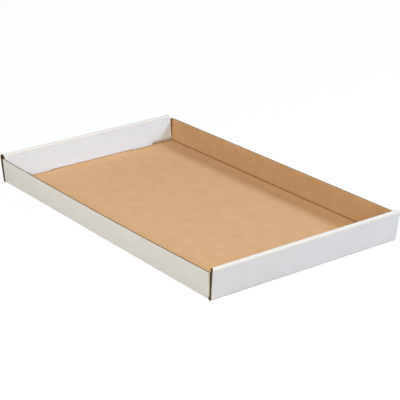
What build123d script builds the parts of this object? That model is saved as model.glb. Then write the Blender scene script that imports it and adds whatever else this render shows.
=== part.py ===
from build123d import *
import os
from math import hypot

# A shallow corrugated tray, folded from one die-cut sheet that is white outside and brown inside.
# The origin is on the table, under the middle of the tray. X runs along it, Y across it, Z up.
# The near wall is the long one at -Y, and the far wall the long one at +Y.

# Driving dimensions, in millimetres
inside_length = 610.0      # between the feet of the two inner end panels
inside_width = 356.0       # between the feet of the two long walls
end_height = 51.0          # top of the rolled ends above the table
board = 3.0                # thickness of the sheet
fold_radius = 0.5          # inner radius of a scored fold
ply_gap = 0.2              # air between two layers of a rolled end
end_splay = 4.6            # how far the top of a rolled end stands outside its own foot
side_splay = 5.3           # how far the middle of a long wall's top edge stands outside its foot
near_bow = 4.0             # how much less the near wall stands out at its two ends
far_bow = 0.3              # the same for the far wall
crest_room = 2.5           # air between a long wall's cut top edge and the folds of the rolled ends
corner_bend = 4.0          # inner radius, at the top, of the bend from a long wall into its flap
flap_spacing = 140.0       # between the tips of the two flaps inside one rolled end
edge_play = 1.0            # room between an inner end panel and the corner bends beside it
tab_width = 46.8           # each lock tab at the foot of an inner end panel
tab_inset = 42.9           # from the panel's side edge to the tab
tab_recess = 0.5           # how far a tab's tip stays above the table
foot_gap = 0.8             # from the floor to the panel's foot between the tabs
foot_relief = 2.5          # from the floor to the panel's foot outside the tabs
slot_play = 0.5            # room in front of and behind a tab in its slot
slot_end_play = 2.0        # room at each end of a tab in its slot
corner_slit = 0.3          # cut between a long wall's fold and a rolled end
fold_rise = 1.0            # straight board above the bend at the foot of a long wall
lip = 0.5                  # straight board below the bend at the inner edge of a crest

# Sizes that follow from them
end_slope = end_splay / end_height
slant = board * hypot(1, end_slope)            # level thickness of a leaning end panel
crest = 2 * slant + board + 2 * ply_gap        # outer panel, flap and inner panel, side by side
outer_fold = fold_radius + board
half_length = inside_length / 2 + crest
half_width = inside_width / 2 + board
side_height = end_height - outer_fold - crest_room
wall_foot = outer_fold + fold_rise
lip_height = end_height - outer_fold - lip
flap_length = (inside_width - flap_spacing) / 2 + board
near_lean = side_splay - near_bow
far_lean = side_splay - far_bow


def strip(*points):
    """Section of the folded sheet: its white face follows the points, rounded at each fold."""
    white_face = FilletPolyline(*points, radius=outer_fold)
    return make_face(offset(white_face, amount=board, side=Side.LEFT, closed=True).edges())


def floor_plate():
    """Bottom of the tray, between the folds on its four sides."""
    length = 2 * (half_length - outer_fold)
    width = 2 * (half_width - outer_fold)
    return Box(length, width, board, align=(Align.CENTER, Align.CENTER, Align.MIN))


def side_fold(lap=outer_fold):
    """Fold along the foot of the far wall, with a lap into the floor plate."""
    section = strip(
        (half_width - outer_fold - lap, 0),
        (half_width, 0),
        (half_width, wall_foot),
    )
    return extrude(Plane.YZ * section, amount=half_length - outer_fold - corner_slit, both=True)


def wall_section(height, stand_out, bow, bend):
    """Level cut through the far wall and its two flaps: the wall's line bulges by bow."""
    tip = half_width - flap_length
    x = half_length + end_slope * height - slant - ply_gap
    y = half_width + stand_out
    white_corners = [(x, y), (-x, y)]
    brown_corners = [(x - board, y - board), (board - x, y - board)]
    if bow:
        white_line = ThreePointArc(white_corners[0], (0, y + bow), white_corners[1])
        brown_line = ThreePointArc(brown_corners[0], (0, y + bow - board), brown_corners[1])
    else:
        white_line = Line(*white_corners)
        brown_line = Line(*brown_corners)
    outline = [
        Line((x, tip), white_corners[0]),
        white_line,
        Polyline(white_corners[1], (-x, tip), (board - x, tip), brown_corners[1]),
        brown_line,
        Polyline(brown_corners[0], (x - board, tip), (x, tip)),
    ]
    section = make_face(outline)
    for corners, radius in ((white_corners, bend + board), (brown_corners, bend)):
        ends = [section.vertices().sort_by_distance(corner)[0] for corner in corners]
        section = fillet(ends, radius)
    return Pos(0, 0, height) * section


def side_wall(lean, bow):
    """Far wall with the flaps folded in at its two ends, leaning out by lean and bowed by bow."""
    foot = wall_section(wall_foot, 0, 0, fold_radius)
    top = wall_section(side_height, lean, bow, corner_bend)
    return loft([foot, top], ruled=True)


def rolled_end(lap=outer_fold):
    """Outer panel, crest and lip of the end at +X, cut flush with the two long walls."""
    section = strip(
        (half_length - outer_fold - lap, 0),
        (half_length, 0),
        (half_length + end_splay, end_height),
        (half_length + end_splay - crest, end_height),
        (half_length + end_slope * lip_height - crest, lip_height),
    )
    rolled = extrude(Plane.XZ * section, amount=half_width + side_splay, both=True)
    front = Polygon(
        (-half_width, 0),
        (half_width, 0),
        (half_width + far_lean, end_height),
        (-half_width - near_lean, end_height),
        align=None,
    )
    flush = extrude(Plane.YZ * front, amount=half_length + end_splay)
    # The lap into the floor stops at the long walls' folds, which leaves a slit at each corner.
    corner = Pos(half_length - outer_fold, half_width - outer_fold) * Box(
        2 * lap, 2 * outer_fold, 2 * board, align=(Align.MAX, Align.MIN, Align.CENTER)
    )
    return (rolled & flush) - corner - mirror(corner, Plane.XZ)


def panel_edge(lean):
    """Half widths of an inner end panel beside a wall that leans by lean: at its foot and its lip."""
    foot = half_width - outer_fold - edge_play
    top = half_width + lean - board - corner_bend - edge_play
    return foot, top


def inner_panel():
    """Inner panel of the end at +X, with the two lock tabs that drop into the floor's slots."""
    stretch = hypot(1, end_slope)              # length along the leaning panel for one of height
    lip_overlap = lip / 2
    outline = []
    for side, lean in ((1, far_lean), (-1, near_lean)):
        foot, top = panel_edge(lean)
        tab_out = foot - tab_inset
        tab_in = tab_out - tab_width
        edge = [
            (tab_in, board + foot_gap),
            (tab_in, tab_recess),
            (tab_out, tab_recess),
            (tab_out, board + foot_relief),
            (foot, board + foot_relief),
            (top, lip_height + lip_overlap),
        ]
        outline += [(side * y, z * stretch) for y, z in edge[::side]]
    plane = Plane(origin=(half_length - crest, 0, 0), x_dir=(0, 1, 0), z_dir=(1, 0, -end_slope))
    return extrude(plane * Polygon(*outline, align=None), amount=board)


def tab_slots():
    """Slots through the floor under the two tabs of the end at +X."""
    foot = panel_edge(0)[0]
    front = half_length - crest - slot_play
    back = half_length - crest + slant + end_slope * board + slot_play
    centre = foot - tab_inset - tab_width / 2
    slot = Box(back - front, tab_width + 2 * slot_end_play, 4 * board)
    return [Pos((front + back) / 2, side * centre, 0) * slot for side in (1, -1)]


def pair(piece, plane):
    """The piece and its mirror image across the plane."""
    return [piece, mirror(piece, plane)]


def folded_tray():
    """The whole sheet: floor, long walls with their flaps, and the two rolled ends."""
    tray = floor_plate()
    tray += pair(side_fold(), Plane.XZ)
    tray += [side_wall(far_lean, far_bow), mirror(side_wall(near_lean, near_bow), Plane.XZ)]
    tray += pair(rolled_end(), Plane.YZ)
    for slot in tab_slots():
        tray -= pair(slot, Plane.YZ)
    tray += pair(inner_panel(), Plane.YZ)
    return tray


os.makedirs("parts", exist_ok=True)
export_step(folded_tray().solid(), "parts/folded_tray.step")
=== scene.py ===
import bpy
import numpy as np
from mathutils import Matrix, Vector


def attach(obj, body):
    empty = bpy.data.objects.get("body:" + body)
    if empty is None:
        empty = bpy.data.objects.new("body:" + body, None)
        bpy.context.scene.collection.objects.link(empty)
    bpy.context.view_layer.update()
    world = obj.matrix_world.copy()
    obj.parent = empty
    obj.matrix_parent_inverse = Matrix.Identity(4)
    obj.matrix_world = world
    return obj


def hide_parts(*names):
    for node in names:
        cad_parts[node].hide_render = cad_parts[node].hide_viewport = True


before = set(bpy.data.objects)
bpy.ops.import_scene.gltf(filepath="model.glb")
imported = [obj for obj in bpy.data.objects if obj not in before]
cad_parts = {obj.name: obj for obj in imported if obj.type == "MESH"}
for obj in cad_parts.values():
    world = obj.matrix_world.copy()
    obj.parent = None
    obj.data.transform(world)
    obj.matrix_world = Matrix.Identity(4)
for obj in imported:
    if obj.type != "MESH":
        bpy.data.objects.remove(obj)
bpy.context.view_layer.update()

body = "root"
mm = 0.001


# White outer paper
# The bleached paper on the outside of the board. It shows on the outside of all four walls and, because
# each end is rolled over, on the inside of both ends. It is part of one sheet, die-cut and scored.

board = 3.0 * mm               # the whole board: two flat papers with a waved one between them
flat_paper = 0.3 * mm
outer_fold = 3.5 * mm          # radius of the white face at a scored fold
end_height = 51.0 * mm
end_splay = 4.6 * mm           # how far the top of an end stands outside its foot
end_slope = end_splay / end_height
stretch = np.hypot(1, end_slope)    # length along a leaning panel for one of height
ply_gap = 0.2 * mm             # air between two layers of a rolled end
crest = 2 * board * stretch + board + 2 * ply_gap
inner_length = 305.0 * mm      # from the tray's middle to the foot of an inner end panel
inner_width = 178.0 * mm       # and to the foot of a long wall
half_length = inner_length + crest
half_width = inner_width + board
side_height = 45.0 * mm        # top of a long wall, before it is lifted
far_lift = (-1.3 * mm, 0.3 * mm)    # how much higher the far wall's top really is at -X and at +X
near_lift = (-0.8 * mm, 0.7 * mm)
wall_foot = 4.5 * mm           # where a long wall starts to lean
lip_height = 47.0 * mm         # where the inner panel of an end narrows to pass the corners
far_splay = 5.3 * mm           # how far the middle of the far wall's top stands outside its foot
near_splay = 5.3 * mm
far_bow = 0.3 * mm             # how much less it stands out at its two ends
near_bow = 4.0 * mm
corner_bend = 7.0 * mm         # radius of the white face at the top of a wall's bend into its flap
flap_length = 111.0 * mm       # from the long wall's white face to the flap's tip
flap_tip = half_width - flap_length

# How far the side edges of an inner end panel are from the tray's middle, at its foot and under its lip.
near_panel_foot = 176.5 * mm
far_panel_foot = 177.8 * mm
far_panel_top = 178.0 * mm
near_panel_top = 174.3 * mm    # at the +X end
tight_panel_top = 179.1 * mm   # at the -X end, close to the near wall

# How much narrower than flush a rolled end is on one side, at the top of its outer panel and at the inner
# fold of its crest: the end at -X, then the one at +X. Near, the brown papers stand out under the white one.
white_cut = ((0.0, 2.5 * mm), (1.6 * mm, 6.3 * mm))
brown_cut = ((0.0, 0.0), (0.0, 4.0 * mm))
far_cut = ((5.0 * mm, 8.0 * mm), (0.0, 1.5 * mm))    # the far side, for all three papers

# The tabs at an inner panel's foot, and the slots in the floor that they drop into.
tab_inner, tab_outer = 86.8 * mm, 133.6 * mm         # to the sides, from the tray's middle
slot_inner, slot_outer = 84.8 * mm, 135.6 * mm
slot_front, slot_back = 304.5 * mm, 308.812 * mm     # along the tray, from its middle
tab_tip, panel_gap, shoulder_gap = 0.5 * mm, 3.8 * mm, 4.1 * mm    # heights of the inner panel's foot

# The folded sheet seen from the side: floor, outer panel, crest and inner panel of one end.
fold_corners = np.array([
    (0, 0),
    (half_length, 0),
    (half_length + end_splay, end_height),
    (half_length + end_splay - crest, end_height),
    (half_length + end_slope * tab_tip - crest, tab_tip),
])


def line_knots(corners):
    """Length, heading and place at each end of every straight piece of a line with rounded corners.

    An arc of the fold's radius takes radius * tan(half the turn) off both pieces that it joins. A straight
    piece adds length * (cos, sin) of its heading, and an arc radius * (change of sin, - change of cos).
    """
    steps = np.diff(corners, axis=0)
    headings = np.unwrap(np.arctan2(steps[:, 1], steps[:, 0]))
    turns = np.diff(headings)
    cut = outer_fold * np.tan(turns / 2)
    straights = np.hypot(steps[:, 0], steps[:, 1]) - np.append(cut, 0) - np.append(0, cut)
    lengths = np.zeros(2 * len(steps) - 1)
    lengths[0::2] = straights
    lengths[1::2] = outer_fold * turns
    moves = np.zeros((len(lengths), 2))
    moves[0::2, 0] = straights * np.cos(headings)
    moves[0::2, 1] = straights * np.sin(headings)
    moves[1::2, 0] = outer_fold * np.diff(np.sin(headings))
    moves[1::2, 1] = -outer_fold * np.diff(np.cos(headings))
    places = corners[0] + np.vstack([np.zeros(2), np.cumsum(moves, axis=0)])
    return np.append(0, np.cumsum(lengths)), np.repeat(headings, 2), places


knot_lengths, knot_headings, knot_places = line_knots(fold_corners)
floor_end, outer_start, outer_end, crest_start, crest_end, inner_start, inner_end = knot_lengths[1:]


def along_fold(length):
    """Place and heading on the folded line at each length, by the sums that line_knots gives."""
    piece = np.clip(np.searchsorted(knot_lengths, length, side="right") - 1, 0, len(knot_lengths) - 2)
    heading = np.interp(length, knot_lengths, knot_headings)
    start = knot_headings[piece]
    ahead = length - knot_lengths[piece]
    turning = piece % 2 == 1
    x = np.where(turning, outer_fold * (np.sin(heading) - np.sin(start)), ahead * np.cos(heading))
    z = np.where(turning, outer_fold * (np.cos(start) - np.cos(heading)), ahead * np.sin(heading))
    return knot_places[piece, 0] + x, knot_places[piece, 1] + z, heading


def length_down(height):
    """Length along the folded line at which the white face of the inner panel is at a height."""
    return inner_end - (height - tab_tip) * stretch


def cut_back(place, cut):
    """How much narrower than flush the sheet is at each place, from a cut as listed above."""
    marks = [outer_start, outer_end, crest_end]
    left, right = (np.interp(np.abs(place), marks, [0, *end]) for end in cut)
    return np.where(place > 0, right, left)


def floor_and_ends(place, lane, depth, near_cut):
    """Points of the floor and both ends, for places along the blank and lanes across it.

    The folded line gives x and z, mirrored for a negative place and moved by depth to the left of its
    heading, which is into the board. Lanes count the cutting lines from the near edge to the far one, and
    y lies between two of them by the lane's fraction. The two outermost lines lean with the long walls, less
    what they are cut back.
    """
    reach = np.abs(place)
    x, z, heading = along_fold(reach)
    x = np.sign(place) * (x - depth * np.sin(heading))
    z = z + depth * np.cos(heading)
    marks = [floor_end, length_down(lip_height), length_down(shoulder_gap), inner_end]
    floor_edge = half_width - outer_fold
    roomy_edge = np.interp(reach, marks, [floor_edge, near_panel_top, near_panel_foot, near_panel_foot])
    tight_edge = np.interp(reach, marks, [floor_edge, tight_panel_top, near_panel_foot, near_panel_foot])
    near_edge = np.where(place > 0, roomy_edge, tight_edge)
    far_edge = np.interp(reach, marks, [floor_edge, far_panel_top, far_panel_foot, far_panel_foot])
    near_flush = half_width + (near_splay - near_bow) * z / end_height - cut_back(place, near_cut)
    far_flush = half_width + (far_splay - far_bow) * z / end_height - cut_back(place, far_cut)
    cuts = [slot_outer, tab_outer, tab_inner, slot_inner]
    middle = [np.full_like(x, y) for y in [-cut for cut in cuts] + cuts[::-1]]
    lines = np.array([-near_flush, -near_edge] + middle + [far_edge, far_flush])
    below = np.clip(np.floor(lane).astype(int), 0, len(lines) - 2)
    y = lines[below] + (lines[below + 1] - lines[below]) * (lane - below)[:, None]
    return np.stack([np.broadcast_to(x, y.shape), y, np.broadcast_to(z, y.shape)], axis=-1)


wall_run = half_length + end_slope * wall_foot - board * stretch - ply_gap - outer_fold
corner_slit = 0.3 * mm         # cut between a long wall's fold and a rolled end
slit_end = wall_run + corner_slit
cutting_lines = 12             # along the sheet, as floor_and_ends lists them
middle_strip = 5               # of the eleven strips between them
inner_play, tab, outer_play, edge_strip = 1, 2, 3, 5    # strips, counted outwards from the middle one


def floor_cells(place, lane):
    """Which cells between those places and lanes are board, and not slot, slit or gap under the panel."""
    reach = np.abs(place[1:] + place[:-1])[None, :] / 2
    strip = np.abs(np.floor((lane[1:] + lane[:-1]) / 2) - middle_strip)[:, None]
    slit = (strip == edge_strip) & ((reach < slit_end) | (reach > length_down(lip_height)))
    slot = (strip >= inner_play) & (strip <= outer_play) & (reach > slot_front) & (reach < slot_back)
    shoulder = (strip >= outer_play) & (reach > length_down(shoulder_gap))
    foot = (strip != tab) & (reach > length_down(panel_gap))
    return ~(slit | slot | shoulder | foot)


quarter_turn = np.pi / 2
bend_run = 8.0 * mm            # length along the sheet of a wall's bend into its flap
flap_run = 107.5 * mm          # and of the flap from there to its tip
fold_run = outer_fold * quarter_turn
wall_start = fold_run + wall_foot - outer_fold
wall_end = wall_start + side_height - wall_foot
crease_depth = 1.0 * mm        # how deep the scoring wheel pressed the fold at a long wall's foot
edge_crush = 0.8 * mm          # how much the die squeezed the board along a long wall's top edge
crush_reach = 2.5 * mm         # how far down from that edge
hollow_sine = 0.65             # sine of the turn at which the white face of a bend starts to sink in
hollow_run = bend_run * np.arcsin(hollow_sine) / quarter_turn
deepest_hollow = 2.0 * mm      # how far it sinks in, behind an end's cut edge
hollow_reach = 6.0 * mm        # how far past the bend the flap is back in its own plane


def level_line(run, height, stand_out, bow, radius):
    """Places and outward directions along the white face of a wall and its flaps at one height.

    The wall is a parabola that stands out by bow more in its middle. Its bend is an arc that starts
    square to the wall and ends square to the flap, and the flap is straight, down to its tip.
    """
    corner = half_length + end_slope * height - board * stretch - ply_gap
    edge = corner - radius
    slope = 2 * bow * edge / corner**2
    edge = corner - radius + radius * slope / np.hypot(1, slope)
    reach = np.abs(run)
    x = np.minimum(reach / wall_run, 1) * edge
    turn = np.clip((reach - wall_run) / bend_run, 0, 1)
    angle = np.arctan2(1, 2 * bow * x / corner**2) * (1 - turn)
    out_x, out_y = np.cos(angle), np.sin(angle)
    wall_y = half_width + stand_out - bow * x**2 / corner**2
    square = np.arctan2(1, slope)
    past = reach > wall_run
    centre_x = edge - radius * np.cos(square)
    centre_y = half_width + stand_out - bow * edge**2 / corner**2 - radius * np.sin(square)
    x = np.where(past, centre_x + radius * out_x, x)
    y = np.where(past, centre_y + radius * out_y, wall_y)
    y = y - np.clip((reach - wall_run - bend_run) / flap_run, 0, 1) * (centre_y - flap_tip)
    return np.sign(run) * x, y, np.sign(run) * out_x, out_y


def long_wall(run, rise, depth, side, splay, bow, lift):
    """Points of a long wall and its two flaps, for places along it and a rise from the floor's edge.

    The foot is a quarter turn of the fold's radius less depth. Above it every point moves in a straight
    line from the level line at the wall's foot to the one at its top. Depth goes inwards on both. The top
    is lifted evenly from one end to the other.
    """
    low_x, low_y, low_out_x, low_out_y = level_line(run, wall_foot, 0, 0, outer_fold)
    top_x, top_y, top_out_x, top_out_y = level_line(run, side_height, splay, bow, corner_bend)
    angle = np.minimum(rise / outer_fold, quarter_turn)[:, None]
    share = np.clip((rise - wall_start) / (wall_end - wall_start), 0, 1)[:, None]
    x = (low_x - depth * low_out_x) * (1 - share) + (top_x - depth * top_out_x) * share
    y = (low_y - depth * low_out_y) * (1 - share) + (top_y - depth * top_out_y) * share
    turned = outer_fold - depth
    y = y - turned * (1 - np.sin(angle))
    z = outer_fold - turned * np.cos(angle) + np.maximum(rise - fold_run, 0)[:, None]
    z = z + share * np.interp(run, [-wall_run, wall_run], lift)
    return np.stack([x, side * y, z], axis=-1)


def pressed(run, rise):
    """How far the inside of a long wall is pressed in, at each place along it and each rise.

    It is a raised cosine over the fold at its foot, and the square of the nearness to its cut top edge.
    """
    crease = 0.5 - 0.5 * np.cos(2 * np.pi * np.clip(rise / fold_run, 0, 1))
    crush = np.clip(1 - (wall_end - rise) / crush_reach, 0, 1) ** 2
    return (crease_depth * crease + edge_crush * crush)[:, None] * np.ones_like(run)


def sunk(run, rise):
    """How far the outside of a long wall's bends is pressed in, at each place along it and each rise.

    From the hollow's start on, the white face runs straight in, by radius * (1 - starting sine / sine of
    the turn). On the flap it comes back evenly to its own plane.
    """
    past = np.abs(run) - wall_run
    sine = np.sin(quarter_turn * np.clip(past / bend_run, 0, 1))
    share = np.clip((rise - wall_start) / (wall_end - wall_start), 0, 1)[:, None]
    radius = outer_fold + (corner_bend - outer_fold) * share
    hollow = np.minimum(radius * (1 - hollow_sine / np.maximum(sine, hollow_sine)), deepest_hollow)
    return hollow * np.clip(1 - (past - bend_run) / hollow_reach, 0, 1)


def wall_cells(run, rise):
    """Which cells of a long wall are board: under its bends and flaps the foot is cut away."""
    reach = np.abs(run[1:] + run[:-1])[None, :] / 2
    height = (rise[1:] + rise[:-1])[:, None] / 2
    return (reach < wall_run) | (height > wall_start)


def steps_between(marks, step):
    """Numbers from the first mark to the last, each mark among them and none further apart than step."""
    spans = [
        np.linspace(low, high, int(np.ceil((high - low) / step)), endpoint=False)
        for low, high in zip(marks[:-1], marks[1:])
    ]
    return np.append(np.concatenate(spans), marks[-1])


def both_ways(numbers):
    """The numbers with their negatives before them, and nought once."""
    return np.concatenate([-numbers[:0:-1], numbers])


def sheet_patches(places, runs, lanes, rises, face_depth, back_depth, near_cut):
    """Grids of the whole sheet at two depths: face, back, place on the blank, and which cells are board.

    The depths are functions of the place along the blank, so a layer can be flat or waved, and of how far
    the white side and the brown side are pressed in.
    """
    flat = np.zeros_like(places)
    middle_lines = floor_and_ends(np.zeros(1), lanes, np.zeros(1), near_cut)[:, 0, 1]
    patches = [(
        floor_and_ends(places, lanes, face_depth(places, flat, flat), near_cut),
        floor_and_ends(places, lanes, back_depth(places, flat, flat), near_cut),
        np.stack(np.meshgrid(places, middle_lines), axis=-1),
        floor_cells(places, lanes),
    )]
    squeeze = sunk(runs, rises), pressed(runs, rises)
    for side, *shape in ((1, far_splay, far_bow, far_lift), (-1, near_splay, near_bow, near_lift)):
        patches.append((
            long_wall(runs, rises, face_depth(runs, *squeeze), side, *shape),
            long_wall(runs, rises, back_depth(runs, *squeeze), side, *shape),
            np.stack(np.meshgrid(runs, side * (half_width - outer_fold + rises)), axis=-1),
            wall_cells(runs, rises),
        ))
    return patches


weld = 0.0017 * mm             # points of the face that round to the same multiples of this become one


def closed_layer(name, patches, finishes):
    """A closed shell made from pairs of grids, with a rim from face to back wherever the sheet is cut.

    Each cell of board gives a quad on the face and one, turned over, on the back. An edge that only one
    cell uses is a cut edge, and gets a quad that joins face and back. Equal points become one point. The
    three finishes are those of the face, the back and the rim.
    """
    faces, backs, blanks, quads = [], [], [], []
    start = 0
    for face, back, blank, keep in patches:
        rows, columns = face.shape[:2]
        number = start + np.arange(rows * columns).reshape(rows, columns)
        start += number.size
        corners = [number[:-1, :-1], number[:-1, 1:], number[1:, 1:], number[1:, :-1]]
        quad = np.stack(corners, axis=-1)[keep]
        across = np.cross(face[:-1, 1:] - face[:-1, :-1], face[1:, :-1] - face[:-1, :-1])
        outward = np.sum(across * (face - back)[:-1, :-1], axis=-1)[keep].sum()
        quads.append(quad if outward > 0 else quad[:, ::-1])
        faces.append(face.reshape(-1, 3))
        backs.append(back.reshape(-1, 3))
        blanks.append(blank.reshape(-1, 2))
    faces, backs, blanks, quads = (np.concatenate(part) for part in (faces, backs, blanks, quads))
    key = np.round(faces / weld).astype(np.int64)
    _, first, point = np.unique(key, axis=0, return_index=True, return_inverse=True)
    used, quad_points = np.unique(point.ravel()[quads], return_inverse=True)
    quad_points = quad_points.reshape(quads.shape)
    faces, backs = faces[first[used]], backs[first[used]]
    count = len(used)
    edges = np.stack([quad_points, np.roll(quad_points, -1, axis=1)], axis=-1).reshape(-1, 2)
    edge_grid = np.stack([quads, np.roll(quads, -1, axis=1)], axis=-1).reshape(-1, 2)
    _, group, uses = np.unique(np.sort(edges, axis=1), axis=0, return_inverse=True, return_counts=True)
    cut = uses[group.ravel()] == 1
    near, far = edges[cut].T
    rim = np.stack([far, near, near + count, far + count], axis=-1)
    rim_grid = edge_grid[cut][:, [1, 0, 0, 1]]
    corners = np.concatenate([quad_points, quad_points[:, ::-1] + count, rim])
    corner_blanks = blanks[np.concatenate([quads, quads[:, ::-1], rim_grid])]
    mesh = bpy.data.meshes.new(name)
    mesh.vertices.add(2 * count)
    mesh.vertices.foreach_set("co", np.concatenate([faces, backs]).ravel())
    mesh.loops.add(corners.size)
    mesh.loops.foreach_set("vertex_index", corners.ravel())
    mesh.polygons.add(len(corners))
    mesh.polygons.foreach_set("loop_start", np.arange(0, corners.size, corners.shape[1]))
    counts = [len(quads), len(quads), len(rim)]
    mesh.polygons.foreach_set("material_index", np.repeat([0, 1, 2], counts))
    mesh.polygons.foreach_set("use_smooth", np.repeat([True, True, False], counts))
    mesh.update(calc_edges=True)
    mesh.uv_layers.new(name="blank").data.foreach_set("uv", corner_blanks.ravel())
    for finish in finishes:
        mesh.materials.append(finish)
    piece = bpy.data.objects.new(name, mesh)
    bpy.context.scene.collection.objects.link(piece)
    return piece


class Wire:
    """One output of a node in a material. Sums on it add the Math nodes that work them out."""

    def __init__(self, tree, socket=None):
        self.tree = tree
        self.socket = socket

    def node(self, kind, settings, values, output=None):
        """Adds a node, sets it up, then gives its sockets their values or wires.

        Returns the output of that name, or else the first one in use.
        """
        made = self.tree.nodes.new(kind)
        for name, setting in settings.items():
            setattr(made, name, setting)
        for name, value in values.items():
            named = [socket for socket in made.inputs if socket.enabled and socket.name == name]
            socket = named[0] if named else made.inputs[name]
            if isinstance(value, Wire):
                self.tree.links.new(value.socket, socket)
            else:
                socket.default_value = value
        shown = [socket for socket in made.outputs if socket.enabled and output in (None, socket.name)]
        return Wire(self.tree, shown[0] if shown else None)

    def sum(self, operation, first, second):
        return self.node("ShaderNodeMath", {"operation": operation}, {0: first, 1: second})

    def __add__(self, other):
        return self.sum("ADD", self, other)

    def __sub__(self, other):
        return self.sum("SUBTRACT", self, other)

    def __rsub__(self, other):
        return self.sum("SUBTRACT", other, self)

    def __mul__(self, other):
        return self.sum("MULTIPLY", self, other)

    def __truediv__(self, other):
        return self.sum("DIVIDE", self, other)

    def __abs__(self):
        return self.node("ShaderNodeMath", {"operation": "ABSOLUTE"}, {0: self})

    def clamp(self):
        """The same value kept between nought and one."""
        return self.node("ShaderNodeClamp", {}, {"Value": self})


def new_finish(name):
    """An empty material, and the wire that its nodes are added through."""
    finish = bpy.data.materials.new(name)
    finish.use_nodes = True
    finish.node_tree.nodes.clear()
    return finish, Wire(finish.node_tree)


def colour(red, green, blue):
    """Linear colour, with alpha, of three screen levels from 0 to 255, by the standard screen curve."""
    level = np.array([red, green, blue]) / 255
    linear = np.where(level <= 0.04045, level / 12.92, ((level + 0.055) / 1.055) ** 2.4)
    return (*linear.tolist(), 1.0)


def blend_colours(wire, share, first, second):
    """First colour where share is nought, second where it is one."""
    mixed = {"Factor": share, "A": first, "B": second}
    return wire.node("ShaderNodeMix", {"data_type": "RGBA"}, mixed)


flute = 6.35 * mm              # length of one wave of the middle paper

# The folds of an end along the blank: at its foot, and at the outer and the inner edge of its crest.
fold_middles = [(floor_end + outer_start) / 2, (outer_end + crest_start) / 2, (crest_end + inner_start) / 2]


def blank_grain(wire, along, across, detail=3.0):
    """Noise from nought to one that follows the sheet, with grains of those two sizes."""
    blank = wire.node("ShaderNodeUVMap", {"uv_map": "blank"}, {})
    scale = (1 / along, 1 / across, 1.0)
    place = wire.node("ShaderNodeMapping", {"vector_type": "POINT"}, {"Vector": blank, "Scale": scale})
    settings = {"noise_dimensions": "2D"}
    return wire.node("ShaderNodeTexNoise", settings, {"Vector": place, "Scale": 1.0, "Detail": detail})


def blank_axes(wire):
    """Place along the blank and across it, in metres."""
    blank = wire.node("ShaderNodeUVMap", {"uv_map": "blank"}, {})
    split = {"Vector": blank}
    along = wire.node("ShaderNodeSeparateXYZ", {}, split, output="X")
    across = wire.node("ShaderNodeSeparateXYZ", {}, split, output="Y")
    return along, across


def near_line(distance, width):
    """One on a line, falling evenly to nought at width from it."""
    return (1 - abs(distance) / width).clamp()


# Across the blank the rolled ends stop at half_width, and the flaps start 3 mm beyond it. One finish turns
# into the other between the two, and along the blank it does so just past wall_run.
flap_change, flap_blur = 1.0 * mm, 0.5 * mm
end_blur = 1.0 * mm


def end_and_flap(wire):
    """One past the ends of the long walls' feet, and one on the long walls with their flaps."""
    along, across = blank_axes(wire)
    beyond_wall = ((abs(along) - wall_run) / end_blur).clamp()
    on_flap = ((abs(across) - half_width - flap_change) / flap_blur).clamp()
    return beyond_wall, on_flap


scored_width = 5.0 * mm        # from the middle of a scored fold to where its mark has faded


def fold_marks(wire, feet):
    """One on the scored folds of the blank, or feet on those around the floor, falling evenly to nought."""
    along, across = blank_axes(wire)
    beyond_wall, on_flap = end_and_flap(wire)
    foot = near_line(abs(across) - (half_width - outer_fold + fold_run / 2), scored_width)
    ends = near_line(abs(along) - fold_middles[0], scored_width) * feet
    for middle in fold_middles[1:]:
        ends = ends + near_line(abs(along) - middle, scored_width)
    bends = near_line(abs(along) - (wall_run + bend_run / 2), scored_width)
    return (foot * feet * (1 - beyond_wall) + ends * (1 - on_flap) + bends * on_flap).clamp()


def flute_ripple(wire):
    """The middle paper's wave as it shows faintly through a flat one, from nought to one."""
    along, _ = blank_axes(wire)
    wave = wire.node("ShaderNodeMath", {"operation": "COSINE"}, {0: along * (2 * np.pi / flute)})
    return wave * 0.5 + 0.5


# Painted shade: a dark brown band along the cut sides of the rolled ends, for the shade in the gaps there.
painted_gap_shade = colour(84, 66, 36)
gap_shade_reach = 10 * mm           # how far in from the cut sides of a rolled end its paper is darkened by painted shade


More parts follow.
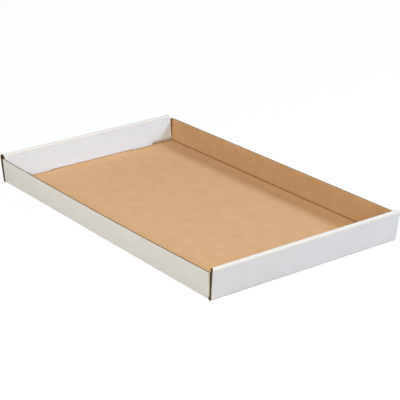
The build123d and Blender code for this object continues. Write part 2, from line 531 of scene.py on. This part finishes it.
def paper_finish(name, light, dark, roughness, ripple, tooth, fold_wear_and_painted_light, fold_wear_and_painted_light_share, feet, gap_shade_share):
    """Paper with clouded colour, fibres, the flutes' ripple, and folds tinted by wear and painted light.

    Ripple is the height of the flutes that show through, and tooth that of the fibres and flecks. Along the
    cut sides of the two ends the paper is darkened with painted shade, by a share that falls evenly to
    nought.
    """
    # What the patterns add to the paper's lightness, to the wear and painted light on its folds, its
    # roughness and height.
    cloud_light, fleck_light, fibre_light, wave_shade, light_offset = 0.55, 0.5, 0.35, 0.05, 0.3
    fibre_fold_mark, fleck_fold_mark, least_fold_mark = 0.8, 0.6, 0.1
    fibre_rough, cloud_rough, rough_offset = 0.12, 0.1, 0.1
    cloud_relief, fold_relief = 0.12 * mm, 0.08 * mm
    finish, wire = new_finish(name)
    clouds = blank_grain(wire, along=31 * mm, across=23 * mm)
    flecks = blank_grain(wire, along=2.6 * mm, across=0.9 * mm)
    fibres = blank_grain(wire, along=0.8 * mm, across=0.16 * mm, detail=2.0)
    wave = flute_ripple(wire)
    folds = fold_marks(wire, feet)
    pattern = clouds * cloud_light + flecks * fleck_light + fibres * fibre_light - light_offset
    tint = blend_colours(wire, (pattern - wave * wave_shade).clamp(), dark, light)
    # The folds' tint is partly wear and partly painted light: painted shade in the creases and inside the
    # bends, and a painted warm light on the white crests.
    fold_wear_and_painted_light_mask = folds * (fibres * fibre_fold_mark + flecks * fleck_fold_mark + least_fold_mark) * fold_wear_and_painted_light_share
    tint = blend_colours(wire, fold_wear_and_painted_light_mask.clamp(), tint, fold_wear_and_painted_light)
    _, across = blank_axes(wire)
    beyond_wall, on_flap = end_and_flap(wire)
    # Painted shade of the gaps beside the cut sides of the rolled ends.
    gap_shade_mask = near_line(half_width - abs(across), gap_shade_reach) * beyond_wall * (1 - on_flap)
    tint = blend_colours(wire, (gap_shade_mask * gap_shade_share).clamp(), tint, painted_gap_shade)
    height = wave * ripple + fibres * tooth + flecks * tooth + clouds * cloud_relief - folds * fold_relief
    surface = wire.node("ShaderNodeBsdfPrincipled", {}, {
        "Base Color": tint,
        "Roughness": (fibres * fibre_rough + clouds * cloud_rough + (roughness - rough_offset)).clamp(),
        "Normal": wire.node("ShaderNodeBump", {}, {"Height": height, "Distance": 1.0, "Strength": 1.0}),
        "Specular IOR Level": 0.3,
    })
    wire.node("ShaderNodeOutputMaterial", {}, {"Surface": surface})
    return finish


# Its fold tint is partly wear and partly painted light: a painted warm light on the crests and painted shade
# inside the bends.
white_paper = paper_finish(
    "white_paper", light=colour(238, 238, 240), dark=colour(223, 223, 224), roughness=0.62,
    ripple=0.012 * mm, tooth=0.012 * mm, fold_wear_and_painted_light=colour(231, 211, 190), fold_wear_and_painted_light_share=0.9,
    feet=0.0, gap_shade_share=0.0,
)


def edge_finish(name, light, dark, end_shade_light, end_shade_dark):
    """The brown inside of the board where it is cut, with torn fibres: darker on the two rolled ends by
    painted shade.
    """
    fibre_light, fleck_light, light_offset = 0.9, 0.6, 0.25
    fibre_relief, fleck_relief = 0.08 * mm, 0.05 * mm
    fibre_rough, least_rough = 0.2, 0.78
    finish, wire = new_finish(name)
    fibres = blank_grain(wire, along=0.5 * mm, across=0.3 * mm)
    flecks = blank_grain(wire, along=4.0 * mm, across=3.0 * mm)
    beyond_wall, on_flap = end_and_flap(wire)
    share = (fibres * fibre_light + flecks * fleck_light - light_offset).clamp()
    tint = blend_colours(wire, share, dark, light)
    # Painted shade: the cut edges of the rolled ends get a darker colour.
    end_shade_tint = blend_colours(wire, share, end_shade_dark, end_shade_light)
    height = fibres * fibre_relief + flecks * fleck_relief
    surface = wire.node("ShaderNodeBsdfPrincipled", {}, {
        "Base Color": blend_colours(wire, beyond_wall * (1 - on_flap), tint, end_shade_tint),
        "Roughness": (fibres * fibre_rough + least_rough).clamp(),
        "Normal": wire.node("ShaderNodeBump", {}, {"Height": height, "Distance": 1.0, "Strength": 1.0}),
        "Specular IOR Level": 0.2,
    })
    wire.node("ShaderNodeOutputMaterial", {}, {"Surface": surface})
    return finish


raw_edge = edge_finish(
    "raw_edge", light=colour(158, 128, 97), dark=colour(112, 86, 58),
    # The rolled ends' darker edge colours are painted shade.
    end_shade_light=colour(108, 84, 54), end_shade_dark=colour(74, 56, 32),
)

# How far apart the points of the two flat papers are. A margin is how close to a fold, or to the start of
# the hollow in a bend, a further row of them lies, so that its shading doesn't spread over the board beside.
floor_step, panel_step, flap_step, wall_step = 12 * mm, 8 * mm, 12 * mm, 6 * mm
fold_step, bend_step = 0.7 * mm, 1.0 * mm
fold_rows, crush_rows = 11, 5  # over the fold at a long wall's foot, and over its crushed top edge
strip_step, edge_strip_step, strip_margin = 0.25, 0.5, 0.02    # as shares of a strip's width
bend_margin, panel_margin, hollow_margin = 2.0 * mm, 0.6 * mm, 0.4 * mm
hair = 0.01 * mm               # far less than any step
bend_end = wall_run + bend_run
end_marks = [
    floor_end, outer_start, outer_start + panel_margin, outer_end - panel_margin, outer_end, crest_start,
    crest_end, inner_start, length_down(lip_height), length_down(shoulder_gap), length_down(panel_gap),
    inner_end,
]
flap_marks = [
    wall_run, wall_run + hollow_run, wall_run + hollow_run + hollow_margin, bend_end,
    bend_end + hollow_reach, bend_end + flap_run,
]


def steps_by_piece(marks, fine, coarse):
    """As steps_between, with fine steps on the spans that are shorter than a bend and coarse ones else."""
    spans = [
        steps_between([low, high], fine if high - low < bend_run else coarse)[:-1]
        for low, high in zip(marks[:-1], marks[1:])
    ]
    return np.append(np.concatenate(spans), marks[-1])


paper_floor = steps_between(
    [0, slot_front, wall_run - bend_margin, wall_run, slit_end, slot_back, floor_end], floor_step,
)
paper_wall = paper_floor[paper_floor < wall_run - hair]
paper_places = both_ways(np.append(paper_floor[:-1], steps_by_piece(end_marks, fold_step, panel_step)))
paper_runs = both_ways(np.append(paper_wall, steps_by_piece(flap_marks, bend_step, flap_step)))
near_fold, far_fold, last_line = 1, cutting_lines - 2, cutting_lines - 1
lane_marks = [near_fold + strip_margin, *range(near_fold + 1, far_fold), far_fold - strip_margin]
paper_lanes = np.concatenate([
    steps_between([0, near_fold], edge_strip_step), steps_between(lane_marks, strip_step),
    steps_between([far_fold, last_line], edge_strip_step),
])
paper_rises = np.concatenate([
    np.linspace(0, fold_run, fold_rows), steps_between([wall_start, wall_end - crush_reach], wall_step),
    np.linspace(wall_end - crush_reach, wall_end, crush_rows)[1:],
])

outer_paper = closed_layer(
    "outer_paper",
    sheet_patches(
        paper_places, paper_runs, paper_lanes, paper_rises,
        lambda place, sink, press: sink, lambda place, sink, press: sink + flat_paper, white_cut,
    ),
    [white_paper, raw_edge, raw_edge],
)
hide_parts("folded_tray")
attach(outer_paper, body)


# Fluted middle paper
# A thin brown paper, pressed into waves and glued between the two flat ones. Its waves run across the
# tray, so they show along the cut top edges of the long walls and down the cut edges of the two ends.

wave_paper = 0.25 * mm
wave_steps = 10                # to one wave
crowding = 0.3                 # share of a step within which a mark takes a step's place


def wave_depth(place, sink, press, side):
    """Depth of one face of the waved paper: a cosine that fills the room between the two flat ones.

    Its thickness is laid off square to the wave, by the root of one plus the slope squared.
    """
    wave_height = (board - 2 * flat_paper - wave_paper - sink - press) / 2
    middle = sink + flat_paper + wave_paper / 2 + wave_height
    angle = 2 * np.pi * place / flute
    slope = wave_height * 2 * np.pi / flute * np.sin(angle)
    return middle + wave_height * np.cos(angle) + side * wave_paper / 2 * np.hypot(1, slope)


def steps_on_wave(marks):
    """Even steps to each wave from the first mark to the last, with a mark in place of a step beside it."""
    step = flute / wave_steps
    marks = np.array(marks)
    steps = np.arange(np.ceil(marks[0] / step), np.floor(marks[-1] / step) + 1) * step
    beside = np.abs(steps[:, None] - marks[None, :]).min(axis=1) < crowding * step
    return np.sort(np.append(steps[~beside], marks))


wave_floor = steps_on_wave([0, slot_front, wall_run, slit_end, slot_back, floor_end])
wave_ends = steps_on_wave([
    floor_end, outer_start, outer_end, crest_start, crest_end, inner_start,
    length_down(lip_height), length_down(shoulder_gap), length_down(panel_gap), inner_end,
])
wave_flaps = steps_on_wave([
    wall_run, wall_run + hollow_run, bend_end, bend_end + hollow_reach, bend_end + flap_run,
])
wave_fold_rows = 7
wave_rises = np.concatenate([
    np.linspace(0, fold_run, wave_fold_rows),
    [wall_start, wall_end - crush_reach, wall_end - crush_reach / 2, wall_end],
])

waved_paper = closed_layer(
    "waved_paper",
    sheet_patches(
        both_ways(np.append(wave_floor[:-1], wave_ends)),
        both_ways(np.append(wave_floor[wave_floor < wall_run - hair], wave_flaps)),
        np.arange(float(cutting_lines)), wave_rises,
        lambda place, sink, press: wave_depth(place, sink, press, -1),
        lambda place, sink, press: wave_depth(place, sink, press, 1), brown_cut,
    ),
    [raw_edge, raw_edge, raw_edge],
)
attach(waved_paper, body)


# Brown inner paper
# The unbleached paper on the other side of the board. It is the floor and the inside of the long walls. Its
# folds are dark, partly where the scoring wheel pressed them and partly painted shade in the creases and
# inside the bends.

# Its dark fold tint is partly wear and partly painted shade; its dark band along the ends' cut sides is
# painted shade.
brown_paper = paper_finish(
    "brown_paper", light=colour(220, 175, 130), dark=colour(199, 152, 107), roughness=0.82,
    ripple=0.015 * mm, tooth=0.02 * mm, fold_wear_and_painted_light=colour(148, 92, 38), fold_wear_and_painted_light_share=1.0,
    feet=1.0, gap_shade_share=1.7,
)
inner_paper = closed_layer(
    "inner_paper",
    sheet_patches(
        paper_places, paper_runs, paper_lanes, paper_rises,
        lambda place, sink, press: board - press,
        lambda place, sink, press: board - flat_paper - press, brown_cut,
    ),
    [brown_paper, raw_edge, raw_edge],
)
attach(inner_paper, body)


# Table and room
# A plain table top in a plain room. The camera and shiny surfaces see both as white, with a faint shadow of
# the tray kept on the table, and full shade under it. Four soft boxes and a dim grey room light the tray.

table_half = 4.0
table_drop = 0.05 * mm         # how far the top lies below the tray's underside
table_mesh = bpy.data.meshes.new("table_top")
table_corners = [
    (x * table_half, y * table_half, -table_drop) for x, y in ((-1, -1), (1, -1), (1, 1), (-1, 1))
]
table_mesh.from_pydata(table_corners, [], [(0, 1, 2, 3)])
table_top = bpy.data.objects.new("table_top", table_mesh)
bpy.context.scene.collection.objects.link(table_top)

plain_white = (1.0, 1.0, 1.0, 1.0)
table_white = (0.97, 0.97, 0.97, 1.0)
table_glow = (0.70, 0.54, 0.44, 1.0)    # how much of each colour of light it sends back to the tray
plain_share = 0.95             # of the white that the camera sees there: the rest takes the tray's shadow
under_inset = 3 * mm           # in from the tray's foot, to where the full shade starts
under_blur = 1 * mm


def seen_directly(wire):
    """One for rays from the camera, from shiny surfaces and through clear ones, nought for light."""
    camera_ray, glossy_ray, clear_ray = (
        wire.node("ShaderNodeLightPath", {}, {}, output=output)
        for output in ("Is Camera Ray", "Is Glossy Ray", "Is Transmission Ray")
    )
    return (camera_ray + glossy_ray + clear_ray).clamp()


table_finish, wire = new_finish("table_white")
lit = wire.node("ShaderNodeBsdfDiffuse", {}, {"Color": table_glow})
shaded = wire.node("ShaderNodeBsdfDiffuse", {}, {"Color": table_white})
plain = wire.node("ShaderNodeEmission", {}, {"Color": plain_white, "Strength": 1.0})
table_place = wire.node("ShaderNodeTexCoord", {}, {}, output="Object")
table_x = wire.node("ShaderNodeSeparateXYZ", {}, {"Vector": table_place}, output="X")
table_y = wire.node("ShaderNodeSeparateXYZ", {}, {"Vector": table_place}, output="Y")
under_x = ((half_length - under_inset - abs(table_x)) / under_blur).clamp()
under_y = ((half_width - under_inset - abs(table_y)) / under_blur).clamp()
shown = wire.node("ShaderNodeMixShader", {}, {0: (1 - under_x * under_y) * plain_share, 1: shaded, 2: plain})
wire.node("ShaderNodeOutputMaterial", {}, {
    "Surface": wire.node("ShaderNodeMixShader", {}, {0: seen_directly(wire), 1: lit, 2: shown}),
})
table_mesh.materials.append(table_finish)

room_light = 0.25
room = bpy.data.worlds.new("white_room")
room.use_nodes = True
room.node_tree.nodes.clear()
wire = Wire(room.node_tree)
glow = wire.node("ShaderNodeBackground", {}, {"Color": plain_white, "Strength": room_light})
white = wire.node("ShaderNodeBackground", {}, {"Color": plain_white, "Strength": 1.0})
wire.node("ShaderNodeOutputWorld", {}, {
    "Surface": wire.node("ShaderNodeMixShader", {}, {0: seen_directly(wire), 1: glow, 2: white}),
})
bpy.context.scene.world = room


def soft_box(name, towards, tint, distance, spread, level):
    """A round lamp that faces the tray, spread times its distance wide.

    The energy is level * (pi * distance) squared: at a level of one, it alone lights white paper to white.
    """
    data = bpy.data.lights.new(name, "AREA")
    data.shape = "DISK"
    data.size = spread * distance
    data.color = tint
    data.energy = level * (np.pi * distance) ** 2
    lamp = bpy.data.objects.new(name, data)
    lamp.location = Vector(towards).normalized() * distance
    lamp.rotation_euler = Vector(towards).to_track_quat("Z", "Y").to_euler()
    lamp.visible_camera = False
    bpy.context.scene.collection.objects.link(lamp)


# The far box is small, so the far wall's shadow has a clear edge. The near one is close, so that it lights
# the middle of the near wall most.
soft_box("right_box", (0.77, 0.0, 0.64), (0.90, 1.0, 0.78), distance=3.0, spread=0.55, level=0.324)
soft_box("far_box", (0.36, 0.70, 0.62), (0.61, 0.74, 1.0), distance=3.0, spread=0.28, level=0.745)
soft_box("end_box", (0.97, 0.0, 0.26), (0.26, 0.41, 1.0), distance=3.0, spread=0.55, level=0.103)
soft_box("near_box", (0.0, -0.77, 0.64), (0.93, 1.0, 0.95), distance=1.3, spread=0.55, level=0.505)


# Camera
# A long lens looks down at the corner between the +X end and the -Y wall, tilted by about a degree.
# Its place and lens come from the tray's own edges in the photograph.

azimuth, elevation, roll = np.radians([54.787, 21.495, -1.233])
distance = 2362.42 * mm
slide_right, slide_up = 20.441 * mm, 15.318 * mm    # of the lens, across its own line of sight
sensor_width, focal_length = 36.0, 125.995          # in millimetres, as the camera takes them
farthest_seen = 50.0
view_back = np.array([
    np.sin(azimuth) * np.cos(elevation), -np.cos(azimuth) * np.cos(elevation), np.sin(elevation),
])
level_right = np.cross(-view_back, (0, 0, 1))
level_right /= np.linalg.norm(level_right)
level_up = np.cross(level_right, -view_back)
view_right = np.cos(roll) * level_right + np.sin(roll) * level_up
view_up = -np.sin(roll) * level_right + np.cos(roll) * level_up
view_place = view_back * distance + slide_right * view_right + slide_up * view_up
stand = np.eye(4)
stand[:3] = np.stack([view_right, view_up, view_back, view_place], axis=-1)
camera_data = bpy.data.cameras.new("camera")
camera_data.sensor_width = sensor_width
camera_data.lens = focal_length
camera_data.clip_end = farthest_seen
camera = bpy.data.objects.new("camera", camera_data)
camera.matrix_world = Matrix(stand.tolist())
bpy.context.scene.collection.objects.link(camera)
bpy.context.scene.camera = camera
bpy.context.scene.view_settings.view_transform = "Standard"
